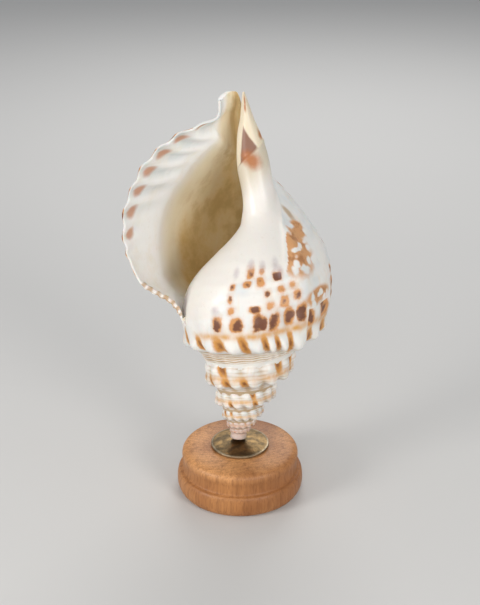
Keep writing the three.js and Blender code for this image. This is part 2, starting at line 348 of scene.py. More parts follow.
def callus_reach(turn, place):
    """How far inside the callus's right edge, and above its foot, a point is, in millimetres."""
    edge = np.interp(place, CALLUS_EDGE_PLACES, CALLUS_EDGE_TURNS)
    foot = np.interp(turn, CALLUS_FOOT_TURNS, CALLUS_FOOT_PLACES)
    return (edge - turn) * MM_A_TURN, (place - foot) * MM_A_PLACE


def callus_depth(turn, place):
    return np.minimum(*callus_reach(turn, place))


def cords(turn, place):
    """How far the ramp's cords and the spire's show at a point, and their waves across the wall."""
    on_ramp = within(place, *RAMP_PLACES)
    early = smooth((SLIM_TURN - turn) / SPIRE_CORD_EASE)
    swayed = place + CORD_SWAY * wave(knob_phase(turn, place))
    ramp_wave = wave(swayed, RAMP_CORD)
    spire_wave = wave(swayed, SPIRE_CORD)
    return on_ramp * (1 - early), early, ramp_wave, spire_wave


def fold_count(turn, place):
    """Counts the lip's folds, which run inwards and down from the rows of spots."""
    lean = FOLD_LEAN * smooth((place - LEAN_FROM) / LEAN_EASE) * smooth(1 + turn / FLUTE_TURNS)
    return row_count(turn, place - lean * (turn - LIP_SPOT_TURN))


def fold_share(turn, place, width):
    """1 in the middle of a fold, which lies halfway between two rows of spots."""
    return hill((fold_count(turn, place) % 1) - 0.5, width)


def rim_share(turn, place):
    """1 on the lip's notched rim at the shoulder."""
    return within(place, *RIM_PLACES) * smooth(1 + turn / RIM_TURNS)


def flutes(turn, place):
    near_edge = smooth(1 + turn / FLUTE_TURNS) ** FLUTE_POWER
    flute = wave(fold_count(turn, place)) * smooth(place - FLUTE_FROM)
    notch = wave(place, RIM_CORD) * rim_share(turn, place)
    return FLUTE_HEIGHT * near_edge * flute + RIM_HEIGHT * notch


def edge_share(turn):
    """From 1 away from the lip's edge to 0 at it, as a quarter circle."""
    return np.sqrt(1 - np.clip(1 + turn / EDGE_TURNS, 0, 1) ** 2)


def knobs(turn, place):
    """How far the knobs and the old lips stand out."""
    rounded = (0.5 - 0.5 * wave(knob_phase(turn, place))) ** KNOB_SQUARE
    fade = knob_fade(turn)
    raised = 0
    for row in KNOB_ROWS:
        across = hill(place - of_row(row, "place", turn), of_row(row, "width", turn))
        raised += of_row(row, "height", turn) * across * mix(KNOB_FLOOR, 1, rounded) * fade
    for varix in VARIX_TURNS:
        raised += VARIX_HEIGHT * hill(turn - varix, VARIX_WIDTH) * smooth(place - VARIX_FROM)
    return raised


def knob_fade(turn):
    """1 on most of the shell, and 0 at the lip's edge and the apex."""
    return smooth(-turn / KNOB_FADE) * smooth((turn - FIRST_TURN) / APEX_FADE)


def glazed_over(raised, turn, place):
    """Lays the callus over what is raised, with a bead along its edge."""
    across, up = callus_reach(turn, place)
    glazed = smooth(across / GLAZE_EASE) * smooth((up + GLAZE_FOOT[0]) / GLAZE_FOOT[1])
    bead = CALLUS_THICK * smooth(across / BEAD_AT) + CALLUS_BEAD * hill(across - BEAD_AT, BEAD_WIDTH)
    covered = smooth((up + BEAD_FOOT[0]) / BEAD_FOOT[1])
    return mix(raised, GLAZED_RELIEF * raised, glazed) + covered * bead


def outer_relief(turn, place):
    """How far the outer surface stands out from the wall's line."""
    on_ramp, on_spire, ramp_wave, spire_wave = cords(turn, place)
    off_rim = 1 - smooth(1 + turn / RIM_TURNS)
    raised = knobs(turn, place)
    raised += RAMP_HEIGHT * on_ramp * off_rim * ramp_wave + SPIRE_HEIGHT * on_spire * spire_wave
    on_rows = smooth((turn - SLIM_TURN) / ROW_EASE) * smooth(place - FLUTE_FROM) * knob_fade(turn)
    raised += ROW_HEIGHT * on_rows * wave(row_count(turn, place))
    raised = glazed_over(raised * smooth((RELIEF_TO - place) / RELIEF_EASE), turn, place)
    return raised + flutes(turn, place) - EDGE_ROUND * (1 - edge_share(turn))


def inner_inset(turn, place):
    """How far the cavity's wall lies inside the wall's line."""
    inset = mix(WALL, LIP_EDGE, smooth(1 + turn / FLARE_TURNS))
    inset = inset + RIM_EXTRA * within(place, *THICK_PLACES) * smooth(1 + turn / RIM_TURNS)
    fold = fold_share(turn, place, FOLD_WIDTH) * hill(turn - FOLD_TURN, FOLD_TURNS)
    inset = inset + FOLD_HEIGHT * fold * within(place, *FOLD_PLACES) - flutes(turn, place)
    return EDGE_ROUND + EDGE_LEFT + (inset - EDGE_ROUND - EDGE_LEFT) * edge_share(turn)


def wall_point(turn, place, out):
    """A point that stands out from the wall's line by "out", as (radius, height)."""
    before = wall_line(turn, place - SLOPE_STEP)
    after = wall_line(turn, place + SLOPE_STEP)
    run = (after[0] - before[0], after[1] - before[1])
    length = np.maximum(np.hypot(*run), 1e-6)
    radius, height = wall_line(turn, place)
    return radius + run[1] / length * out, height - run[0] / length * out


def spaced(*stretches):
    """Numbers in even steps over (from, to, count) stretches, without the last one's end."""
    return np.concatenate([np.linspace(*stretch, endpoint=False) for stretch in stretches])


# Places where the outer wall has points: close together on the ramp and the shoulder.
WALL_PLACES = np.append(
    spaced((0, 1.2, 5), (1.2, 5.6, 58), (5.6, 14.2, 66)), np.linspace(14.2, LAST_PLACE, 12))
SPIRE_PLACES = np.append(spaced((0, 8.2, 58)), [8.2, 9, 10.4, 12, 14, LAST_PLACE])
CAVITY_SHARES = np.linspace(0, 1, 84)

# Turns where the sections are, closer together towards the lip's edge.
EDGE_STEPS = -EDGE_TURNS * np.array([1, 0.78, 0.56, 0.36, 0.2, 0.08, 0.02, 0])
NEAR_LIP = (-0.1, -EDGE_TURNS, 42)
LAST_TURNS = np.append(spaced((-0.9, -0.64, 70), (-0.64, -0.1, 116), NEAR_LIP), EDGE_STEPS)
CAVITY_TURNS = np.concatenate([
    spaced((CAVITY_FROM, -0.1, 150), NEAR_LIP), EDGE_STEPS, np.linspace(0.01, CAVITY_TO, 5),
])
SPIRE_STRETCHES = [
    (-1.9, -1.3, 130), (-2.9, -1.9, 180), (-3.9, -2.9, 130), (-4.9, -3.9, 90), (FIRST_TURN, -4.9, 90),
]
EARLIER_WHORLS = [(np.linspace(-1.3, -0.9, 90), WALL_PLACES)]
EARLIER_WHORLS += [(np.linspace(*stretch), SPIRE_PLACES) for stretch in SPIRE_STRETCHES]
TURNS_A_PIECE = 0.45

PILLAR_STEPS = np.concatenate([np.linspace(0, 3, 13), [4], np.linspace(4.6, len(PILLAR) - 1, 104)])
PILLAR_FACETS = 72


def rings_in_space(turns, radius, height, side):
    """Rings of a wall's points, closed by a side towards the axis."""
    side = np.broadcast_to(side, (len(turns), *side.shape))
    radius = np.concatenate([radius, side[..., 0]], 1)
    height = np.concatenate([height, side[..., 1]], 1)
    return place_in_space(np.repeat(turns[:, None], radius.shape[1], 1), radius, height)


def outer_rings(turns, places):
    turn, place = np.meshgrid(turns, places, indexing="ij")
    radius, height = wall_point(turn, place, outer_relief(turn, place))
    radius = np.concatenate([radius, np.full((len(turns), 1), INNER_RADIUS)], 1)
    height = np.concatenate([height, height[:, -1:]], 1)
    return rings_in_space(turns, radius, height, INNER_SIDE)


def cavity_places(turn):
    rise = smooth((turn + CANAL_TURNS) / CANAL_RISE_TURNS)
    return mix(CAVITY_FIRST, mix(CAVITY_LAST_BODY, CAVITY_LAST_CANAL, rise), CAVITY_SHARES)


def cavity_rings(turns):
    turn = np.repeat(turns[:, None], len(CAVITY_SHARES), 1)
    place = np.stack([cavity_places(t) for t in turns])
    held = np.minimum(turn, 0)
    radius, height = wall_point(held, place, -inner_inset(held, place))
    opened = smooth((turns - OPEN_FROM) / OPEN_TURNS)
    top = mix(height[:, -1] + ROOF_RISE, OPEN_HEIGHT / scale_at(turns), opened)
    roof_out = mix(radius[:, -1] * ROOF_SHARE, radius[:, -1] - OPEN_MARGIN, opened)
    roof = np.stack([roof_out, np.full(len(turns), OPEN_RADIUS)], 1)
    radius = np.concatenate([radius, roof], 1)
    height = np.concatenate([height, np.stack([top, top], 1)], 1)
    return rings_in_space(turns, radius, height, CAVITY_SIDE)


def above_ridge(height, angle):
    """How far above the pillar's ridge a point is, from its height and its angle in degrees."""
    return height - np.interp(angle, RIDGE_ANGLES, RIDGE_HEIGHTS)


def pillar_rings():
    angles = 2 * math.pi * np.arange(PILLAR_FACETS) / PILLAR_FACETS - math.pi
    step, angle = np.meshgrid(PILLAR_STEPS, angles, indexing="ij")
    p = along(PILLAR, step)
    above = above_ridge(p[..., 0], angle / DEGREE)
    out = RIDGE_HEIGHT * hill(above, RIDGE_WIDTH) - TIP_STEP * smooth(above / TIP_EASE)
    out = within(angle / DEGREE, *RIDGE_FRONT) * out
    x = p[..., 1] + (p[..., 3] + out) * np.cos(angle)
    y = p[..., 2] + (p[..., 4] + out) * np.sin(angle)
    return bent(np.stack([x, y, p[..., 0]], -1))


def mesh_object(name, points, faces):
    mesh = bpy.data.meshes.new(name)
    mesh.from_pydata(points.tolist(), [], faces)
    mesh.update()
    obj = bpy.data.objects.new(name, mesh)
    bpy.context.scene.collection.objects.link(obj)
    return obj


def grid_faces(rows, columns, closed):
    """Quads over rows of points, and round to the first column again where it is closed."""
    row, column = np.meshgrid(np.arange(rows - 1), np.arange(columns - (not closed)), indexing="ij")
    a = row * columns + column
    b = row * columns + (column + 1) % columns
    return np.stack([a, b, b + columns, a + columns], -1).reshape(-1, 4)


def loft(name, rings):
    """A closed solid through rings of points."""
    rows, columns = rings.shape[:2]
    points = rings.reshape(-1, 3)
    quads = grid_faces(rows, columns, True)
    first = list(range(columns))[::-1]
    last = list(range((rows - 1) * columns, rows * columns))
    a, b, c, d = [points[quads[:, k]] for k in range(4)]
    volume = (np.cross(a, b) * c).sum() + (np.cross(a, c) * d).sum()
    faces = quads.tolist() + [first, last]
    if volume < 0:
        faces = [face[::-1] for face in faces]
    return mesh_object(name, points, faces)


def combine(first, others, operation):
    """Joins the other solids to the first one, or cuts them from it, and removes them."""
    for other in others:
        boolean = first.modifiers.new("boolean", "BOOLEAN")
        boolean.operation = operation
        boolean.solver = "MANIFOLD"
        boolean.object = other
        graph = bpy.context.evaluated_depsgraph_get()
        made = bpy.data.meshes.new_from_object(first.evaluated_get(graph))
        first.modifiers.clear()
        first.data = made
        bpy.data.objects.remove(other)
    return first


def lofts(name, turns, rings_of):
    """Lofts over short runs of turns, so that none meets itself."""
    cuts = np.arange(turns[0] + TURNS_A_PIECE, turns[-1], TURNS_A_PIECE)
    ends = [0, *np.searchsorted(turns, cuts), len(turns) - 1]
    return [loft(name, rings_of(turns[a:b + 1])) for a, b in zip(ends, ends[1:])]


def largest_body(obj):
    """Keeps the mesh's body with the most vertices. The slivers shut in between whorls go."""
    mesh = obj.data
    edges = edges_of(mesh)
    label = np.arange(len(mesh.vertices))
    while True:
        low = np.minimum(label[edges[:, 0]], label[edges[:, 1]])
        spread = label.copy()
        np.minimum.at(spread, edges[:, 0], low)
        np.minimum.at(spread, edges[:, 1], low)
        spread = spread[spread]
        if (spread == label).all():
            break
        label = spread
    kept = label == np.bincount(label).argmax()
    index = np.cumsum(kept) - 1
    points = points_of(mesh)[kept]
    faces = [[int(index[v]) for v in face.vertices] for face in mesh.polygons if kept[face.vertices[0]]]
    made = mesh_object(obj.name, points, faces)
    bpy.data.objects.remove(obj)
    return made


def points_of(mesh):
    points = np.empty(len(mesh.vertices) * 3)
    mesh.vertices.foreach_get("co", points)
    return points.reshape(-1, 3)


def edges_of(mesh):
    edges = np.empty(len(mesh.edges) * 2, np.int32)
    mesh.edges.foreach_get("vertices", edges)
    return edges.reshape(-1, 2)


def tree_of(mesh):
    mesh.calc_loop_triangles()
    triangles = [tuple(t.vertices) for t in mesh.loop_triangles]
    return BVHTree.FromPolygons(points_of(mesh).tolist(), triangles)


def distances(tree, points):
    """Signed distances of points to a surface, and the directions away from it."""
    distance = np.empty(len(points))
    away = np.empty((len(points), 3))
    for i, point in enumerate(points):
        spot, normal, _, _ = tree.find_nearest(Vector(point))
        offset = Vector(point) - spot
        distance[i] = math.copysign(offset.length, offset.dot(normal))
        away[i] = normal if abs(distance[i]) < ON_SURFACE else offset / distance[i]
    return distance, away


def soften_joint(mesh, first, second):
    """Fills the crease between two joined surfaces with a round fillet."""
    points = points_of(mesh)
    size = mix(FILLET, FILLET_HIGH, smooth((points[:, 2] - FILLET_FALL_FROM)
                                           / (FILLET_FALL_TO - FILLET_FALL_FROM)))
    near = np.nonzero(points[:, 2] > PILLAR[4, 0])[0]
    edges = edges_of(mesh)
    ends = np.bincount(edges.ravel(), minlength=len(points))[:, None]
    relaxed = np.zeros(len(points))
    for _ in range(SOFTEN_STEPS):
        around = np.zeros_like(points)
        np.add.at(around, edges[:, 0], points[edges[:, 1]])
        np.add.at(around, edges[:, 1], points[edges[:, 0]])
        points = mix(points, around / ends, relaxed[:, None])
        a, a_away = distances(first, points[near])
        b, b_away = distances(second, points[near])
        k = size[near]
        share = np.clip(1 - np.abs(a - b) / k, 0, 1)
        surface = np.minimum(a, b) - k * share ** 2 / 4
        weight = np.where(a < b, 1 - share / 2, share / 2)[:, None]
        slope = weight * a_away + (1 - weight) * b_away
        moved = share > 0
        step = slope * (surface / np.maximum((slope ** 2).sum(1), LEAST_SLOPE))[:, None]
        points[near[moved]] -= step[moved]
        relaxed[near] = RELAXED * smooth(2 * share)
        near = near[moved]
    mesh.vertices.foreach_set("co", points.ravel())
    mesh.update()


def sampled(points, grids):
    """The distance from each point to the grids, and their two values at the nearest spot."""
    corners, values, triangles, count = [], [], [], 0
    for grid, first, second in grids:
        rows, columns = grid.shape[:2]
        quads = grid_faces(rows, columns, False) + count
        triangles += [quads[:, [0, 1, 2]], quads[:, [0, 2, 3]]]
        corners.append(grid.reshape(-1, 3))
        values.append(np.stack([first.ravel(), second.ravel()], 1))
        count += rows * columns
    corners, triangles = np.concatenate(corners), np.concatenate(triangles)
    tree = BVHTree.FromPolygons(corners.tolist(), triangles.tolist())
    found = [tree.find_nearest(Vector(point)) for point in points]
    spot = np.array([f[0][:] for f in found])
    nearest = triangles[[f[2] for f in found]]
    a, b, c = [corners[nearest[:, k]] for k in range(3)]
    normal = np.cross(b - a, c - a)
    area = np.maximum((normal ** 2).sum(1), 1e-12)
    at_b = (np.cross(spot - a, c - a) * normal).sum(1) / area
    at_c = (np.cross(b - a, spot - a) * normal).sum(1) / area
    weights = np.stack([1 - at_b - at_c, at_b, at_c], 1)
    values = (np.concatenate(values)[nearest] * weights[..., None]).sum(1)
    return np.array([f[3] for f in found]), values[:, 0], values[:, 1]


def outside_grids():
    """The outer surface's points, with their turns and places."""
    for turns, places in [(LAST_TURNS, WALL_PLACES), *EARLIER_WHORLS]:
        turn, place = np.meshgrid(turns, places, indexing="ij")
        yield outer_rings(turns, places)[:, :len(places)], turn, place


def cavity_grids():
    """The cavity's points, with their turns and places."""
    rings = cavity_rings(CAVITY_TURNS)
    sides = rings.shape[1] - len(CAVITY_SHARES)
    turn = np.repeat(CAVITY_TURNS[:, None], rings.shape[1], 1)
    place = np.stack([np.append(cavity_places(t), LAST_PLACE + np.arange(sides)) for t in CAVITY_TURNS])
    yield rings, turn, place


def pillar_grids():
    """The pillar's points, with their heights and angles in degrees."""
    rings = pillar_rings()
    angles = 360 * np.arange(PILLAR_FACETS) / PILLAR_FACETS - 180
    height = np.repeat(along(PILLAR, PILLAR_STEPS)[:, :1], PILLAR_FACETS, 1)
    closed = [np.concatenate([part, part[:, :1]], 1) for part in (rings, height)]
    yield *closed, np.repeat(np.append(angles, 180)[None], len(PILLAR_STEPS), 0)


def shell_mesh():
    """The shell in its own straight frame, and for each point its region and its place there."""
    pieces = lofts("last_whorl", LAST_TURNS, lambda turns: outer_rings(turns, WALL_PLACES))
    whorl = combine(pieces[0], pieces[1:], "UNION")
    pieces = lofts("cavity", CAVITY_TURNS, cavity_rings)
    whorl = combine(whorl, [combine(pieces[0], pieces[1:], "UNION")], "DIFFERENCE")
    for turns, places in EARLIER_WHORLS:
        pieces = lofts("spire", turns, lambda run: outer_rings(run, places))
        whorl = combine(whorl, pieces, "UNION")
    whorls = tree_of(whorl.data)
    pillar = loft("pillar", pillar_rings())
    column = tree_of(pillar.data)
    shell = largest_body(combine(whorl, [pillar], "UNION"))
    points = points_of(shell.data)
    samples = [sampled(points, grids()) for grids in (outside_grids, cavity_grids, pillar_grids)]
    region = np.argmin([distance for distance, _, _ in samples], 0)
    soften_joint(shell.data, whorls, column)
    return shell, region, samples


# Markings. A field is 1 in the middle of a mark, 0 at its edge and less outside it. The spots on the
# shell's front are (turn, place, half width, half height), with the halves in millimetres. The other
# spots and the gaps have half sizes in knobs and rows, times a least share plus what luck adds.
FRONT_SPOTS = [
    (-0.891, 7.25, 3.0, 4.3), (-0.846, 7.13, 3.4, 4.2), (-0.798, 7.24, 3.6, 4.8), (-0.768, 7.4, 2.6, 4.9),
    (-0.738, 7.5, 2.6, 5.0), (-0.713, 7.65, 2.6, 4.6), (-0.860, 8.24, 1.6, 1.5), (-0.810, 8.29, 2.8, 1.6),
    (-0.779, 8.45, 1.9, 1.9), (-0.748, 8.6, 1.9, 2.3), (-0.722, 8.8, 1.8, 2.0), (-0.865, 9.08, 1.0, 1.4),
    (-0.784, 9.2, 1.1, 1.2), (-0.755, 9.37, 1.5, 1.5), (-0.729, 9.49, 1.5, 1.5), (-0.863, 9.8, 1.4, 1.2),
    (-0.830, 9.92, 2.4, 1.5), (-0.800, 10.0, 2.4, 2.0), (-0.823, 10.54, 2.3, 2.2), (-0.760, 10.16, 2.8, 2.0),
    (-0.796, 10.55, 1.4, 1.2),
]
FRONT_TURNS = (-1.0, -0.695)
FULL_SPOT = 3
BIG_SPOT = (0.29, 0.72)
BIG_LUCK = (0.8, 0.2)
SMALL_SPOT = (0.19, 0.36)
SMALL_LUCK = (0.5, 0.6)
SMALL_DEPTH = 0.7
SPOTS_DROPPED = 0.25
SPOTS_SCARCE = 0.75
SCARCE_TO = -0.55
SCARCE_EASE = 0.15
ROWS_TO = 14.0
CLEAR_OF_LACE = 0.2
CLEAR_OF_CALLUS = -1
GAP_MARK = (0.24, 1.15)
GAP_WIDTH_LUCK = (0.6, 0.5)
GAP_HEIGHT_LUCK = (0.75, 0.35)
GAP_LEAN = 0.35
GAP_TURNS = [-6.3, -2.6, -2.2, -1.1, -1.05]
GAPS_DROPPED = [0.85, 0.8, 0.6, 0.45, 0.0]
BAND_TURNS = [-0.95, -0.80, -0.70, -0.62]
BAND_PLACES = [6.1, 6.2, 6.75, 6.3]
BAND_WIDTH = 0.34
BAND_FROM = 0.02
BAND_EASE = 0.05
SPIRE_BAND = (5.4, 0.7, 0.6)
LACE_SWAY = (0.008, 0.008, 0.008)
NETWORKS = [(-0.698, 11.2, 0.052, 1.5), (-0.645, 12.1, 0.035, 0.6), (-0.66, 8.3, 0.045, 0.55)]
# Violet stains as (turn, place, size); the one at turn -1.015 is painted shade beside the aperture's lower
# corner.
STAINS_AND_SHADE = [
    (-0.824, 10.95, 3.2), (-0.795, 10.8, 2.8), (-0.762, 10.75, 3.6), (-0.753, 10.4, 3.0), (-0.898, 8.3, 3.6),
    (-1.015, 8.7, 7), (-0.86, 10.6, 3.0),
]
PATCH_EDGE = 1.4
STAIN_EDGE = 1.6
STAIN_SQUASH = 0.8
LIP_SPOT_SIZE = (0.010, 0.30)
LIP_SPOTS_FROM = 8
HOLLOW_EASE = 3
HOLLOW_WIDTH = 1.3
HOLLOW_REACH = 1.2
NOTCH_MIDDLE = 0.6
NOTCH_WAVE = 0.4
TIP_SPOTS = [(207, -98, 3.2), (203, -104, 2.6), (173, -92, 5.0), (175, -112, 4.0), (188, -20, 3.0)]
PLUM_CORNERS = [(194.5, -130), (181, -55), (168, -152)]
PLUM_LIMIT = 20.0
DEGREES_A_MM = 6.5
TIP_RANGE = (-40, 20)
CALLUS_RANGE = (-20, 20)
FAR = -3.0
LACE_OFF_CALLUS = 0.5
SPOT_SEED = 3
GAP_WIDTH_SEED = 7
GAP_SEED = 20
CHANCE_WAVES = (12.9898, 78.233)
CHANCE_SPREAD = 43758.5453

# Tan on the ramp, and on the spire between the cords, on the ramp and between the knobs; painted shade on
# the spire at the suture and low on the whorl. The patch is (turn, place, size) and lies beside the last old
# lip.
RAMP_TAN = 0.9
RAMP_TAN_WAVE = 0.65
GROOVE_TAN = 0.45
UPPER_TAN = 0.3
UPPER_TO = 3.6
SUTURE_SHADE = 1.2
SUTURE_TO = 1.9
SUTURE_EASE = 0.9
LOWER_SHADE = 0.7
LOWER_FROM = 7.3
LOWER_EASE = 0.8
GAP_TAN = 0.5
TAN_PATCH = (-0.625, 13.1, 4.0)
PATCH_TAN = 0.8
PATCH_SQUASH = 0.6


def chance(a, b):
    """A number from 0 to 1 that is fixed by two whole numbers."""
    return (np.sin(a * CHANCE_WAVES[0] + b * CHANCE_WAVES[1]) * CHANCE_SPREAD) % 1


def oval(x, y, size):
    return 1 - np.sqrt((x / size[0]) ** 2 + (y / size[1]) ** 2)


def squarish(x, y, size):
    return 1 - ((np.abs(x) / size[0]) ** 3 + (np.abs(y) / size[1]) ** 3) ** (1 / 3)


def off_spot(turn, place, spot_turn, spot_place):
    """How far a point is from a spot, along the spiral and across the wall, in millimetres."""
    return (turn - spot_turn) * MM_A_TURN, (place - spot_place) * MM_A_PLACE


def network_field(turn, place):
    """Patches of brown lace on the last old lip."""
    network = 0 * turn
    for middle, patch_place, half_turn, half_place in NETWORKS:
        x, y = (turn - middle) / half_turn, (place - patch_place) / half_place
        network = np.maximum(network, smooth(PATCH_EDGE - np.hypot(x, y)))
    return network


def spot_field(turn, place):
    """Rows of brown spots on the last whorl."""
    phase, count = knob_phase(turn, place), row_count(turn, place)
    column = np.round(phase)
    row = np.clip(np.round(count), 0, len(FRONT_ROWS) - 1)
    in_first = row == 0
    luck = chance(column, row)
    least, more = [np.where(in_first, *both) for both in zip(BIG_LUCK, SMALL_LUCK)]
    size = [np.where(in_first, *both) * (least + more * luck) for both in zip(BIG_SPOT, SMALL_SPOT)]
    field = squarish(phase - column, count - row, size) * np.where(in_first, 1, SMALL_DEPTH)
    scarce = mix(SPOTS_SCARCE, SPOTS_DROPPED, smooth((turn - SCARCE_TO) / SCARCE_EASE))
    dropped = (chance(row + SPOT_SEED, column) < scarce) & (~in_first | (turn > SCARCE_TO))
    in_front = (turn > FRONT_TURNS[0]) & (turn < FRONT_TURNS[1])
    in_lace = network_field(turn, place) > CLEAR_OF_LACE
    on_callus = callus_depth(turn, place) > CLEAR_OF_CALLUS
    bare = dropped | in_front | in_lace | on_callus | (turn < SLIM_TURN) | (place > ROWS_TO)
    field = np.where(bare, FAR, field)
    for middle, row_place, *size in FRONT_SPOTS:
        depth = size[0] / FULL_SPOT
        field = np.maximum(field, squarish(*off_spot(turn, place, middle, row_place), size) * depth)
    return field


def gap_field(turn, place):
    """Brown between the knobs of each row."""
    phase = knob_phase(turn, place)
    column = np.round(phase)
    dropped = np.interp(turn, GAP_TURNS, GAPS_DROPPED)
    wide = GAP_MARK[0] * (GAP_WIDTH_LUCK[0] + GAP_WIDTH_LUCK[1] * chance(column, GAP_WIDTH_SEED))
    field = np.full(turn.shape, FAR)
    for number, row in enumerate(KNOB_ROWS):
        off = place - of_row(row, "place", turn)
        luck = chance(column, number + GAP_SEED)
        high = GAP_MARK[1] * (GAP_HEIGHT_LUCK[0] + GAP_HEIGHT_LUCK[1] * luck)
        mark = squarish(phase - column, off - GAP_LEAN, (wide, high))
        bare = (luck < dropped) | ((turn > KNOB_MOVE_TURN) & (number == 1))
        field = np.maximum(field, np.where(bare, FAR, mark))
    return field


def band_field(turn, place):
    """The orange band on the last whorl, and the paler one on the spire."""
    on_last = smooth((turn - SLIM_TURN - BAND_FROM) / BAND_EASE)
    band = hill(place - np.interp(turn, BAND_TURNS, BAND_PLACES), BAND_WIDTH) * on_last
    middle, share, width = SPIRE_BAND
    return band + share * cords(turn, place)[1] * hill(place - middle, width)


def stain_and_shade_field(turn, place):
    """Violet stains on the front of the last whorl, and painted violet shade beside the aperture's lower
    corner.
    """
    stain_and_shade = np.zeros(turn.shape)
    for *middle, size in STAINS_AND_SHADE:
        x, y = off_spot(turn, place, *middle)
        far = np.hypot(x, STAIN_SQUASH * y) / size
        stain_and_shade = np.maximum(stain_and_shade, smooth((STAIN_EDGE - far) / STAIN_EDGE))
    return stain_and_shade


def tan_and_suture_shade_field(turn, place):
    """Tan on the ramp, in the spire's grooves and gaps, and in one patch, with painted shade at the spire's
    sutures.
    """
    on_ramp, on_spire, ramp_wave, spire_wave = cords(turn, place)
    tan_and_shade = on_ramp * (RAMP_TAN - RAMP_TAN_WAVE * ramp_wave)
    tan_and_shade += GROOVE_TAN * on_spire * (0.5 - 0.5 * spire_wave) ** 3
    tan_and_shade += UPPER_TAN * on_spire * smooth(UPPER_TO - place)
    # Painted shade along the spire's sutures: at the top of each whorl and low on it.
    suture_shade = SUTURE_SHADE * smooth((SUTURE_TO - place) / SUTURE_EASE)
    low = LOWER_SHADE * smooth((place - LOWER_FROM) / LOWER_EASE)
    tan_and_shade += on_spire * (suture_shade + low)
    tan_and_shade += GAP_TAN * on_spire * (0.5 + 0.5 * wave(knob_phase(turn, place))) ** 2
    *middle, size = TAN_PATCH
    x, y = off_spot(turn, place, *middle)
    return tan_and_shade + PATCH_TAN * smooth(PATCH_EDGE - np.hypot(x, PATCH_SQUASH * y) / size)


def fold_shade_field(turn, place):
    """Painted blue-grey shade inside the lip: from 0 on its folds to 1 in the hollows between them."""
    upper = smooth((place - LIP_SPOTS_FROM) / HOLLOW_EASE) * smooth(HOLLOW_REACH + turn / FLUTE_TURNS)
    return (1 - fold_share(turn, place, HOLLOW_WIDTH * FOLD_WIDTH)) * upper


def rust_field(height, angle):
    """Rust-coloured spots on the pillar's tip."""
    rust = np.full(height.shape, FAR)
    for spot_height, spot_angle, size in TIP_SPOTS:
        across = (angle - spot_angle) / DEGREES_A_MM
        rust = np.maximum(rust, 1 - np.hypot(height - spot_height, across) / size)
    return rust


def plum_field(height, angle):
    """How far inside the plum-coloured corner of the pillar's tip a point is, in millimetres."""
    plum = np.full(height.shape, PLUM_LIMIT)
    corners = [np.array([h, a / DEGREES_A_MM]) for h, a in PLUM_CORNERS]
    middle = sum(corners) / len(corners)
    for one, two in zip(corners, corners[1:] + corners[:1]):
        normal = np.array([two[1] - one[1], one[0] - two[0]])
        normal = normal / np.linalg.norm(normal) * np.sign(normal @ (middle - one))
        side = (height - one[0]) * normal[0] + (angle / DEGREES_A_MM - one[1]) * normal[1]
        plum = np.minimum(plum, side)
    return plum


def outside_fields(turn, place):
    """The outer surface's fields, each with its value elsewhere."""
    depth = callus_depth(turn, place)
    return {
        "spot": (spot_field(turn, place), FAR),
        "gap": (gap_field(turn, place), FAR),
        "band": (band_field(turn, place), 0),
        "network": (network_field(turn, place) * smooth(-depth - LACE_OFF_CALLUS), 0),
        "stain_and_shade": (stain_and_shade_field(turn, place), 0),
        "callus": (np.clip(depth, *CALLUS_RANGE), FAR),
        "tan_and_shade": (tan_and_suture_shade_field(turn, place), 0),
    }


def inside_fields(turn, place):
    """The cavity's fields, each with its value elsewhere."""
    count = row_count(turn, place)
    spot = oval(turn - LIP_SPOT_TURN, count - np.round(count), LIP_SPOT_SIZE)
    return {"lip_spot": (np.where(place > LIP_SPOTS_FROM, spot, FAR), FAR), "inside": (1.0, 0)}


def column_fields(height, angle):
    """The pillar's fields, each with its value elsewhere."""
    return {
        "column": (1.0, 0),
        "tip": (np.clip(above_ridge(height, angle), *TIP_RANGE), TIP_RANGE[0]),
        "rust": (rust_field(height, angle), FAR),
        "plum": (plum_field(height, angle), FAR),
    }


def shell_fields(region, samples):
    """What the shell's paint is mixed from, as named numbers for each point."""
    outside, cavity, column = [values for _, *values in samples]
    turn, place = [np.where(region == CAVITY, inner, outer) for inner, outer in zip(cavity, outside)]
    notch = rim_share(turn, place) * (NOTCH_MIDDLE - NOTCH_WAVE * wave(place, RIM_CORD))
    fields = {"turn": turn, "place": place, "fold_shade": fold_shade_field(*cavity)}
    fields["notch"] = np.where(region == COLUMN, 0, notch)
    found = [outside_fields(*outside), inside_fields(*cavity), column_fields(*column)]
    for area, its_fields in zip((OUTSIDE, CAVITY, COLUMN), found):
        for name, (values, elsewhere) in its_fields.items():
            fields[name] = np.where(region == area, values, elsewhere)
    return fields


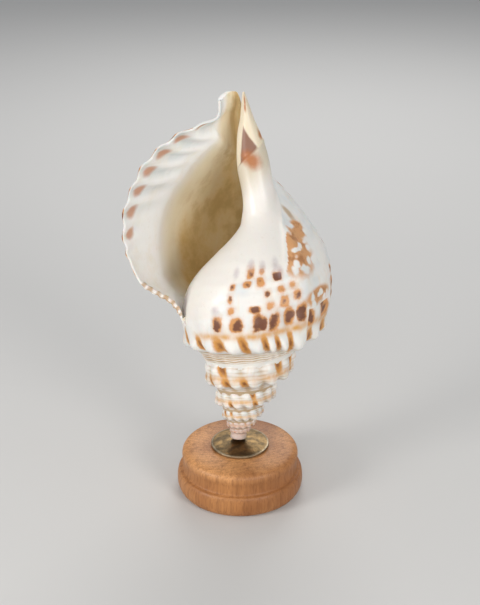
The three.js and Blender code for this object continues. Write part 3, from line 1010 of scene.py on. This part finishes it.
class Paint:
    """A material's nodes, with short calls for the sums that its colours are made of."""

    def __init__(self, name):
        self.material = bpy.data.materials.new(name)
        self.material.use_nodes = True
        self.tree = self.material.node_tree
        self.tree.nodes.clear()
        self.shader = self.tree.nodes.new("ShaderNodeBsdfPrincipled")
        output = self.tree.nodes.new("ShaderNodeOutputMaterial")
        self.tree.links.new(self.shader.outputs["BSDF"], output.inputs["Surface"])

    def put(self, socket, value):
        """Links another node's socket to this one, or sets this one's value."""
        if isinstance(value, bpy.types.NodeSocket):
            self.tree.links.new(value, socket)
        else:
            socket.default_value = value

    def node(self, kind, inputs, output=0, **settings):
        """The output of a new node with these inputs and settings."""
        node = self.tree.nodes.new(kind)
        for key, value in settings.items():
            setattr(node, key, value)
        for key, value in inputs.items():
            self.put(node.inputs[key], value)
        return node.outputs[output]

    def sum(self, operation, *values):
        return self.node("ShaderNodeMath", dict(enumerate(values)), operation=operation)

    def plus(self, a, b):
        return self.sum("ADD", a, b)

    def times(self, a, b):
        return self.sum("MULTIPLY", a, b)

    def times_plus(self, a, b, c):
        """The product of the first two, with the third added."""
        return self.sum("MULTIPLY_ADD", a, b, c)

    def vector_sum(self, operation, *values, output=0):
        return self.node("ShaderNodeVectorMath", dict(enumerate(values)), output, operation=operation)

    def part(self, vector, axis):
        return self.node("ShaderNodeSeparateXYZ", {"Vector": vector}, axis)

    def field(self, name):
        return self.node("ShaderNodeAttribute", {}, "Fac", attribute_name=name)

    def position(self):
        return self.node("ShaderNodeTexCoord", {}, "Object")

    def stretched(self, vector, scale):
        return self.node("ShaderNodeMapping", {"Vector": vector, "Scale": scale})

    def joined(self, x, y):
        return self.node("ShaderNodeCombineXYZ", {"X": x, "Y": y})

    def noise(self, vector, scale, detail=3.0, roughness=0.55, output=0):
        """A cloudy noise. Output 0 is one number and output 1 is three."""
        inputs = {"Vector": vector, "Scale": scale, "Detail": detail, "Roughness": roughness}
        return self.node("ShaderNodeTexNoise", inputs, output)

    def cells(self, vector, scale):
        return self.node("ShaderNodeTexVoronoi", {"Vector": vector, "Scale": scale})

    def ease(self, value, low, high, start=0.0, end=1.0):
        """From start at low to end at high, in an S curve."""
        inputs = {"Value": value, "From Min": low, "From Max": high, "To Min": start, "To Max": end}
        return self.node("ShaderNodeMapRange", inputs, interpolation_type="SMOOTHSTEP")

    def mixed(self, share, first, second):
        colours = [(*colour, 1) if isinstance(colour, tuple) else colour for colour in (first, second)]
        return self.node("ShaderNodeMix", {0: share, 6: colours[0], 7: colours[1]}, 2, data_type="RGBA")

    def tint(self, base, colour, value, low, high, share=1.0):
        """Lays a colour over the base, up to the share, as a value goes from low to high."""
        return self.mixed(self.ease(value, low, high, 0.0, share), base, colour)

    def bump(self, height, distance, strength):
        inputs = {"Height": height, "Distance": distance, "Strength": strength}
        return self.node("ShaderNodeBump", inputs)

    def finish(self, **sockets):
        """Sets the shader's sockets; an underscore in a name stands for a space."""
        for key, value in sockets.items():
            self.put(self.shader.inputs[key.replace("_", " ")], value)
        return self.material


# Colours, as linear red, green and blue.
SHELL_WHITE = (0.78, 0.755, 0.71)
SHELL_COOL = (0.66, 0.68, 0.67)
SHELL_CREAM = (0.74, 0.60, 0.42)
GLAZE_WHITE = (0.78, 0.745, 0.69)
LIP_WHITE = (0.95, 0.95, 0.93)
# Painted shade in the hollows between the lip's folds.
LIP_FOLD_SHADE = (0.52, 0.58, 0.58)
INSIDE_CREAM = (0.80, 0.70, 0.50)
INSIDE_TAN = (0.72, 0.50, 0.21)
# The colour farthest inside is partly the cavity's own yellow and partly painted light, lighter than its
# tan.
INSIDE_DEEP_LIT = (0.97, 0.81, 0.46)
INSIDE_SHADE = (0.48, 0.30, 0.10)
SPOT_DARK = (0.11, 0.028, 0.015)
SPOT_EDGE = (0.58, 0.24, 0.045)
GAP_ORANGE = (0.58, 0.27, 0.06)
GAP_BROWN = (0.22, 0.07, 0.015)
BAND_ORANGE = (0.64, 0.33, 0.09)
# Tan for the grooves and the speckles, also used as painted shade at the spire's sutures.
TAN_AND_SHADE = (0.42, 0.28, 0.14)
APEX_PINK = (0.55, 0.36, 0.29)
LACE_ORANGE = (0.58, 0.26, 0.07)
VIOLET = (0.38, 0.30, 0.33)
LIP_SPOT = (0.60, 0.29, 0.17)
TIP_CREAM = (0.76, 0.66, 0.49)
PILLAR_CREAM = (0.60, 0.53, 0.41)
RIM_TAN = (0.46, 0.27, 0.11)
RUST = (0.40, 0.12, 0.015)
PLUM = (0.19, 0.06, 0.028)


class ShellPaint(Paint):
    """The shell's paint, with the noises that its parts share."""

    def __init__(self):
        super().__init__("triton_shell")
        self.where = self.position()
        self.turn, self.place = self.field("turn"), self.field("place")
        along_spiral = self.joined(self.times(self.turn, 60.0), self.times(self.place, 0.5))
        self.growth = self.noise(along_spiral, 1.0, 4.0)
        self.clouds = self.noise(self.where, 45.0)
        self.speckle = self.noise(self.where, 420.0)
        self.ragged = self.times_plus(self.noise(self.where, 230.0, 4.0), 0.7, -0.35)


def ground_colour(p):
    """White and cream, with tan in the grooves, painted shade at the spire's sutures and an orange band."""
    colour = p.tint(SHELL_WHITE, SHELL_COOL, p.clouds, 0.4, 0.7)
    colour = p.tint(colour, SHELL_CREAM, p.growth, 0.5, 0.75, 0.35)
    # Tan, and painted shade at the spire's sutures.
    tan = p.times(p.field("tan_and_shade"), p.ease(p.clouds, 0.3, 0.6, 0.5, 1.0))
    colour = p.tint(colour, TAN_AND_SHADE, tan, 0.0, 1.0, 0.9)
    band = p.times(p.field("band"), p.ease(p.growth, 0.25, 0.6, 0.45, 1.0))
    band = p.times(band, p.ease(p.noise(p.where, 75.0, 2.0), 0.35, 0.6, 0.6, 1.1))
    return p.mixed(band, colour, BAND_ORANGE)


def with_lace(p, colour):
    """Adds the brown lace on the last old lip."""
    swayed = p.vector_sum("MULTIPLY_ADD", p.noise(p.where, 90.0, 2.0, 0.5, 1), LACE_SWAY, p.where)
    lace = p.plus(p.cells(swayed, 150.0), p.times(p.ragged, 0.6))
    lace = p.times(p.plus(p.field("network"), p.times(p.ragged, 0.5)), p.ease(lace, 0.15, 0.6))
    colour = p.tint(colour, LACE_ORANGE, lace, 0.05, 0.7, 0.9)
    darker = p.times(p.ease(lace, 0.4, 0.9), p.ease(p.noise(p.where, 130.0), 0.45, 0.6))
    return p.mixed(p.times(darker, 0.55), colour, GAP_BROWN)


def with_marks(p, colour):
    """Adds the brown between the knobs, the rows of spots, the violet stains and painted shade by the
    aperture's corner.
    """
    gap = p.plus(p.field("gap"), p.times(p.ragged, 1.4))
    colour = p.tint(colour, GAP_ORANGE, gap, -0.4, 0.25)
    colour = p.tint(colour, GAP_BROWN, gap, 0.2, 0.8, 0.85)
    blots = p.times_plus(p.noise(p.where, 120.0, 2.0), 1.6, -0.8)
    spot = p.plus(p.field("spot"), p.times_plus(p.ragged, 1.4, p.times(blots, 0.5)))
    colour = p.tint(colour, SPOT_EDGE, spot, -0.8, -0.1, 0.3)
    colour = p.tint(colour, SPOT_EDGE, spot, -0.3, 0.1, 0.9)
    darker = p.times_plus(p.noise(p.where, 190.0, 2.0), 2.0, p.sum("SUBTRACT", spot, 2.1))
    darker = p.times_plus(p.noise(p.where, 65.0, 1.0), 2.2, darker)
    darker = p.times(p.ease(darker, 0.0, 0.7, 0.0, 0.9), p.ease(spot, -0.2, 0.1))
    colour = p.mixed(darker, colour, SPOT_DARK)
    # Violet stains, and painted shade beside the aperture's lower corner.
    stain_and_shade = p.plus(p.field("stain_and_shade"), p.times(p.ragged, 1.2))
    return p.tint(colour, VIOLET, stain_and_shade, 0.2, 1.3, 0.6)


def inner_colour(p):
    """The cavity: white at the lip with painted shade between its folds, cream behind it, tan further in,
    and a lighter yellow farthest in that is partly painted light.
    """
    # Painted blue-grey shade in the hollows between the lip's folds.
    fold_shade = p.times(p.field("fold_shade"), p.ease(p.growth, 0.3, 0.6, 0.6, 1.0))
    inner = p.mixed(fold_shade, LIP_WHITE, LIP_FOLD_SHADE)
    inner = p.tint(inner, INSIDE_CREAM, p.turn, -0.08, -0.15)
    soft = p.ease(p.turn, -0.14, -0.25)
    crisp = p.ease(p.times_plus(p.ragged, 0.02, p.turn), -0.15, -0.18)
    tan = p.times_plus(p.sum("SUBTRACT", crisp, soft), p.ease(p.place, 10.0, 7.5), soft)
    inner = p.mixed(tan, inner, INSIDE_TAN)
    # Far inside: the cavity's own yellow, made lighter as painted light against the shade there.
    deep_lit = p.times(p.ease(p.clouds, 0.25, 0.75, 0.6, 1.0), p.ease(p.turn, -0.2, -0.42))
    inner = p.mixed(deep_lit, inner, INSIDE_DEEP_LIT)
    waves = p.noise(p.joined(p.times(p.turn, 26.0), p.times(p.place, 0.55)), 1.0, 5.0, 0.6)
    inner = p.tint(inner, INSIDE_CREAM, waves, 0.45, 0.7, 0.3)
    shade = p.times(p.ease(waves, 0.55, 0.35, 0.0, 0.5), p.ease(p.turn, -0.12, -0.2))
    inner = p.mixed(shade, inner, INSIDE_SHADE)
    lip_spot = p.times_plus(p.ragged, 0.5, p.field("lip_spot"))
    return p.tint(inner, LIP_SPOT, lip_spot, -0.3, 0.5, 0.85)


def column_colour(p, tip):
    """The pillar, with its bare tip."""
    colour = p.tint(GLAZE_WHITE, PILLAR_CREAM, tip, -24.0, -6.0)
    colour = p.tint(colour, TIP_CREAM, tip, 0.0, 1.2)
    colour = p.tint(colour, PLUM, p.plus(p.field("plum"), p.ragged), 0.0, 1.6, 0.9)
    return p.tint(colour, RUST, p.plus(p.field("rust"), p.ragged), -0.5, 0.7, 0.9)


def shell_material():
    p = ShellPaint()
    inside, column, tip = p.field("inside"), p.field("column"), p.field("tip")
    glazed = p.ease(p.field("callus"), -0.5, 1.5)
    colour = p.mixed(glazed, with_lace(p, ground_colour(p)), GLAZE_WHITE)
    colour = p.mixed(inside, with_marks(p, colour), inner_colour(p))
    colour = p.tint(colour, RIM_TAN, p.plus(p.field("notch"), p.ragged), 0.1, 0.9, 0.85)
    colour = p.mixed(column, colour, column_colour(p, tip))
    colour = p.tint(colour, APEX_PINK, p.turn, -4.0, -5.2, 0.7)
    colour = p.tint(colour, TAN_AND_SHADE, p.speckle, 0.6, 0.75, 0.10)
    fine = p.times_plus(p.growth, 0.6, p.times(p.speckle, 0.4))
    glossy_column = p.times(column, p.ease(tip, 1.0, -14.0))
    smoothness = p.sum("MAXIMUM", glazed, p.sum("MAXIMUM", inside, glossy_column))
    rough = p.plus(p.ease(smoothness, 0.0, 1.0, 0.48, 0.34), p.times(p.clouds, 0.08))
    return p.finish(
        Base_Color=colour, Roughness=rough, Normal=p.bump(fine, 0.0005, 0.35), IOR=1.5,
        Coat_Weight=0.15, Coat_Roughness=0.25, Subsurface_Weight=0.08, Subsurface_Scale=0.004,
    )


def leaned(points, lift):
    """Takes points of the shell's own frame to the object's, in metres."""
    c, s = math.cos(LEAN_BACK), math.sin(LEAN_BACK)
    about_x = np.array([[1, 0, 0], [0, c, s], [0, -s, c]])
    c, s = math.cos(LEAN_SIDE), math.sin(LEAN_SIDE)
    about_y = np.array([[c, 0, s], [0, 1, 0], [-s, 0, c]])
    return (points @ (about_x @ about_y).T + [0, 0, lift]) * METRE


def dress(obj, material, node):
    """Gives a piece its shading and its material, ties it to the root body and hides the part that it
    replaces.
    """
    mesh = obj.data
    mesh.shade_smooth()
    mesh.set_sharp_from_angle(angle=SHARP_ANGLE)
    mesh.update()
    mesh.materials.append(material)
    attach(obj, "root")
    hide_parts(node)


def add_shell():
    shell, region, samples = shell_mesh()
    shell.name = "triton_shell"
    mesh = shell.data
    points = points_of(mesh)
    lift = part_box("shell")[0].z / METRE - leaned(points, 0)[:, 2].min() / METRE
    mesh.vertices.foreach_set("co", leaned(points, lift).ravel())
    for name, values in shell_fields(region, samples).items():
        mesh.attributes.new(name, "FLOAT", "POINT").data.foreach_set("value", values.astype(np.float32))
    dress(shell, shell_material(), "shell")


# The disc and the base, as outlines from the middle of the underside to the middle of the top.
DISC_RADIUS = 17.6
DISC_FOOT = 29.0
DISC_EDGE = 1.5
DISC_DOME = 1.3
DISC_ROUND = 0.4
DISC_ROUND_STEPS = 7
DOME_SHARES = np.linspace(0.95, 0.03, 24)
BASE_PROFILE = np.array([
    [34.6, 0], [37.0, 1.6], [38.3, 5.0], [38.4, 9.0], [37.9, 12.2], [37.0, 13.7], [35.7, 14.3],
    [35.0, 15.5], [34.8, 20.0], [35.4, 23.4], [34.9, 25.8], [33.0, 27.5], [29.0, 28.4], [24.0, 28.7],
])
BASE_STEPS = 90
TURNED_SIDES = 180


def turned(name, profile):
    """A closed solid turned about the upright axis, from its underside's edge to its top's edge."""
    angles = 2 * math.pi * np.arange(TURNED_SIDES) / TURNED_SIDES
    radius, height = profile[:, :1], profile[:, 1:]
    x, y = radius * np.cos(angles), radius * np.sin(angles)
    rings = np.stack([x, y, np.broadcast_to(height, x.shape)], -1) * METRE
    return loft(name, rings)


def disc_profile():
    points = []
    for middle, first in ((DISC_ROUND, -math.pi / 2), (DISC_EDGE - DISC_ROUND, 0)):
        for angle in np.linspace(first, first + math.pi / 2, DISC_ROUND_STEPS):
            out = DISC_RADIUS - DISC_ROUND + DISC_ROUND * math.cos(angle)
            points.append([out, middle + DISC_ROUND * math.sin(angle)])
    for share in DOME_SHARES:
        points.append([DISC_RADIUS * share, DISC_EDGE + DISC_DOME * (1 - share ** 2)])
    return np.array(points) + [0, DISC_FOOT]


METAL_DARK = (0.10, 0.07, 0.035)
METAL_OLIVE = (0.25, 0.155, 0.06)
# A painted highlight along the disc's rim, and where it starts and ends.
METAL_HIGHLIGHT = (0.42, 0.35, 0.24)
HIGHLIGHT_FROM = (DISC_RADIUS - 1.5) * METRE
HIGHLIGHT_TO = (DISC_RADIUS - 0.3) * METRE


def metal_material():
    p = Paint("tarnished_metal")
    where = p.position()
    x, y = p.part(where, 0), p.part(where, 1)
    out = p.sum("SQRT", p.plus(p.sum("POWER", x, 2.0), p.sum("POWER", y, 2.0)))
    clouds = p.noise(where, 160.0, 5.0, 0.65)
    grain = p.noise(where, 1500.0, 3.0)
    colour = p.tint(METAL_DARK, METAL_OLIVE, clouds, 0.35, 0.65)
    # A painted highlight round the disc's edge.
    rim = p.ease(out, HIGHLIGHT_FROM, HIGHLIGHT_TO)
    rim = p.times(rim, p.ease(clouds, 0.3, 0.6, 0.4, 1.0))
    colour = p.mixed(rim, colour, METAL_HIGHLIGHT)
    rough = p.plus(p.ease(clouds, 0.3, 0.7, 0.42, 0.28), p.times(grain, 0.08))
    normal = p.bump(p.plus(clouds, p.times(grain, 0.4)), 0.0004, 0.4)
    return p.finish(Base_Color=colour, Metallic=1.0, Roughness=rough, Normal=normal)


# The lighter top colour is painted light: the base's top lighter than its sides.
WOOD_TOP_LIT = (0.66, 0.32, 0.12)
WOOD_PALE = (0.46, 0.20, 0.065)
WOOD_MID = (0.31, 0.115, 0.032)
WOOD_DARK = (0.16, 0.055, 0.016)
PITH = (-0.012, 0.055, 0.0)
RING_PHASE = 2400.0


def wood_material():
    p = Paint("turned_wood")
    where = p.position()
    from_pith = p.vector_sum("SUBTRACT", where, PITH)
    swayed = p.noise(p.stretched(where, (1.0, 1.0, 0.3)), 28.0, 2.0)
    flat = p.stretched(from_pith, (1.0, 1.0, 0.0))
    out = p.vector_sum("LENGTH", flat, output="Value")
    rings = p.times_plus(swayed, 0.010, out)
    rings = p.times_plus(p.sum("SINE", p.times(rings, RING_PHASE)), 0.5, 0.5)
    pores = p.noise(p.stretched(where, (1.0, 1.0, 0.05)), 1500.0, 2.0)
    streaks = p.noise(p.stretched(where, (1.0, 1.0, 0.02)), 330.0, 4.0)
    clouds = p.noise(where, 25.0, 2.0)
    height = p.part(where, 2)
    # Painted light: the top is lighter than the sides, as if lit from above.
    top_lit = p.tint(WOOD_PALE, WOOD_TOP_LIT, height, 0.020, 0.027)
    colour = p.tint(top_lit, WOOD_MID, clouds, 0.35, 0.65, 0.8)
    colour = p.tint(colour, WOOD_DARK, rings, 0.5, 1.0, 0.14)
    colour = p.tint(colour, WOOD_DARK, streaks, 0.45, 0.7, 0.4)
    colour = p.tint(colour, WOOD_DARK, pores, 0.5, 0.65, 0.4)
    grain = p.plus(pores, p.times(streaks, 0.5))
    normal = p.bump(grain, 0.0003, 0.3)
    rough = p.ease(pores, 0.3, 0.7, 0.40, 0.58)
    return p.finish(Base_Color=colour, Roughness=rough, Normal=normal, IOR=1.45)


def base_profile():
    return along(BASE_PROFILE, np.linspace(0, len(BASE_PROFILE) - 1, BASE_STEPS))


FLOOR_SIZE = 8.0
FLOOR_COLOUR = (0.62, 0.61, 0.59)
FLOOR_MOTTLE = (0.5, 0.5, 0.5)


def add_floor():
    size = FLOOR_SIZE / 2
    corners = np.array([[-size, -size, 0], [size, -size, 0], [size, size, 0], [-size, size, 0]])
    floor = mesh_object("floor", corners, [[0, 1, 2, 3]])
    p = Paint("studio_floor")
    mottle = p.noise(p.position(), 3.0, 2.0)
    colour = p.tint(FLOOR_COLOUR, FLOOR_MOTTLE, mottle, 0.3, 0.7, 0.06)
    floor.data.materials.append(p.finish(Base_Color=colour, Roughness=0.9))


# The studio's lights, as (name, place in metres, size, power, colour), and what they face.
LIGHTS = [
    ("key", (0.7, -0.95, 0.55), 0.45, 6.9, (1.0, 0.98, 0.955)),
    ("front", (-0.1, -1.15, 0.75), 0.5, 2.8, (1.0, 0.985, 0.97)),
    ("left", (-0.95, -0.55, 0.45), 0.4, 7.2, (1.0, 0.98, 0.96)),
    ("back", (0.1, 0.9, 0.8), 0.6, 5, (1.0, 1.0, 1.0)),
]
LIGHT_TARGET = Vector((0, 0, 0.12))
SKY_COLOUR = (0.92, 0.95, 1.0, 1)
SKY_STRENGTH = 0.38


def add_light(name, place, size, power, colour):
    """A soft square light that faces the shell."""
    lamp = bpy.data.lights.new(name, "AREA")
    lamp.size = size
    lamp.energy = power
    lamp.color = colour
    obj = bpy.data.objects.new(name, lamp)
    obj.location = place
    obj.rotation_euler = (LIGHT_TARGET - obj.location).to_track_quat("-Z", "Y").to_euler()
    bpy.context.scene.collection.objects.link(obj)


def add_sky():
    world = bpy.data.worlds.new("studio")
    world.use_nodes = True
    background = world.node_tree.nodes["Background"]
    background.inputs["Color"].default_value = SKY_COLOUR
    background.inputs["Strength"].default_value = SKY_STRENGTH
    bpy.context.scene.world = world
    bpy.context.scene.view_settings.view_transform = "Standard"


def add_camera():
    data = bpy.data.cameras.new("camera")
    data.sensor_fit = "VERTICAL"
    data.sensor_height = CAMERA_SENSOR
    data.lens = CAMERA_LENS
    data.clip_start = CAMERA_CLIP
    camera = bpy.data.objects.new("camera", data)
    back = CAMERA_DISTANCE * math.cos(CAMERA_RISE)
    up = CAMERA_AIM_HEIGHT + CAMERA_DISTANCE * math.sin(CAMERA_RISE)
    camera.location = (0, -back * METRE, up * METRE)
    camera.rotation_euler = (math.pi / 2 - CAMERA_PITCH, 0, 0)
    bpy.context.scene.collection.objects.link(camera)
    bpy.context.scene.camera = camera


add_camera()
add_floor()
add_sky()
for light in LIGHTS:
    add_light(*light)
add_shell()
dress(turned("domed_disc", disc_profile()), metal_material(), "metal_disc")
dress(turned("turned_base", base_profile()), wood_material(), "wood_base")
